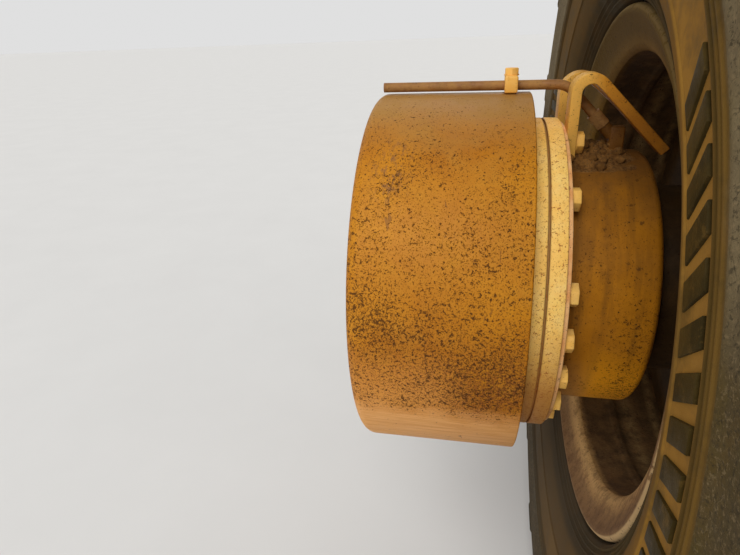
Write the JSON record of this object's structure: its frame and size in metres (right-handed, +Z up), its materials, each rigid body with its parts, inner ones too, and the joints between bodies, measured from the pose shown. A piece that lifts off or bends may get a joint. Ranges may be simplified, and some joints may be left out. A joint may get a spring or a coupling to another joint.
{
  "type": "driven wheel end with disc wheel",
  "caption": "Wheel end with stepped hub drive housing, bolted joint rings, guard bars, steel line, multi-piece rim and lugged off-road tyre.",
  "frame": {"origin": "on the wheel axle, in the housing's inboard face that bolts to the machine", "axes": "+X outboard along the wheel axle, +Z up, +Y away from the picture's viewer (a direction of travel)"},
  "size_m": [0.6515, 1.3678, 1.3648],
  "materials": {
    "housing_paint": "weathered gloss",
    "ring_paint": "weathered gloss",
    "small_drum_paint": "dusty",
    "bolt_paint": "weathered",
    "guard_paint": "weathered",
    "line_steel": "rusty",
    "clip_paint": "weathered",
    "axle_steel": "oily",
    "hub_paint": "dusty",
    "stud_steel": "rusty",
    "rim_paint": "dusty, rusty at the lip",
    "ring_steel": "rusty",
    "valve_brass": "dull",
    "tyre": "dusty"
  },
  "bodies": {
    "housing": {"mounting_flange": "housing_paint", "drum_housing": "housing_paint", "inner_joint_ring": "ring_paint", "outer_joint_ring": "ring_paint", "small_drum": "small_drum_paint", "flange_bolts": "bolt_paint", "front_guard_bar": "guard_paint", "rear_guard_bar": "guard_paint", "guard_bolts": "bolt_paint", "steel_line": "line_steel", "line_clip": "clip_paint", "line_nut": "line_steel", "line_elbow": "clip_paint", "stub_axle": "axle_steel"},
    "wheel": {"hub": "hub_paint", "hub_cover": "hub_paint", "cover_bolts": "bolt_paint", "wheel_studs": "stud_steel", "wheel_nuts": "stud_steel", "wheel_disc": "rim_paint", "rim_base": "rim_paint", "side_ring": "rim_paint", "lock_ring": "ring_steel", "valve_stem": "valve_brass", "tyre": "tyre"}
  },
  "joints": [
    {"name": "wheel_spin", "type": "hinge", "parent": "housing", "child": "wheel", "pos_m": [0.474, 0, 0], "axis": [1, 0, 0], "continuous": true}
  ]
}
